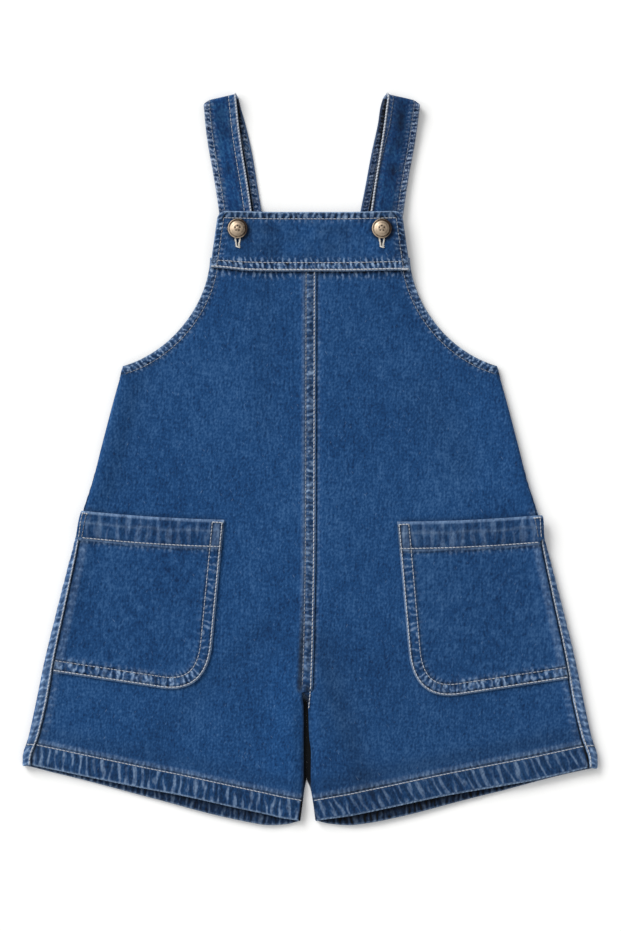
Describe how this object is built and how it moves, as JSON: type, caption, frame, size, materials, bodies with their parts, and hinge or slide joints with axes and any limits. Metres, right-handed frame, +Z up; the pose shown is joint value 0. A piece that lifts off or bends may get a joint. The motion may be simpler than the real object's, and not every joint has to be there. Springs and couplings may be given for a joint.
{
  "type": "kids dungarees",
  "caption": "Short-legged kids' denim dungarees laid flat, front up, with a buttoned bib band, folded shoulder straps, patch pockets and a lapped centre front seam.",
  "frame": {"origin": "on the surface that the garment lies on, under the middle of its outline", "axes": "+X to the right as seen from above, +Y from the leg hems to the straps, +Z up from the surface"},
  "size_m": [0.4604, 0.5848, 0.0118],
  "materials": {
    "denim": "washed mid-blue cotton twill",
    "strap_denim": "washed mid-blue cotton twill, doubled",
    "antique_brass": "antiqued, half matt"
  },
  "bodies": {
    "root": {"front_panel_left": "denim", "front_panel_right": "denim", "back_panel_left": "denim", "back_panel_right": "denim", "bib_band": "denim", "pocket_left": "denim", "pocket_right": "denim", "strap_left": "strap_denim", "strap_right": "strap_denim", "button_left": "antique_brass", "button_right": "antique_brass"}
  },
  "joints": []
}
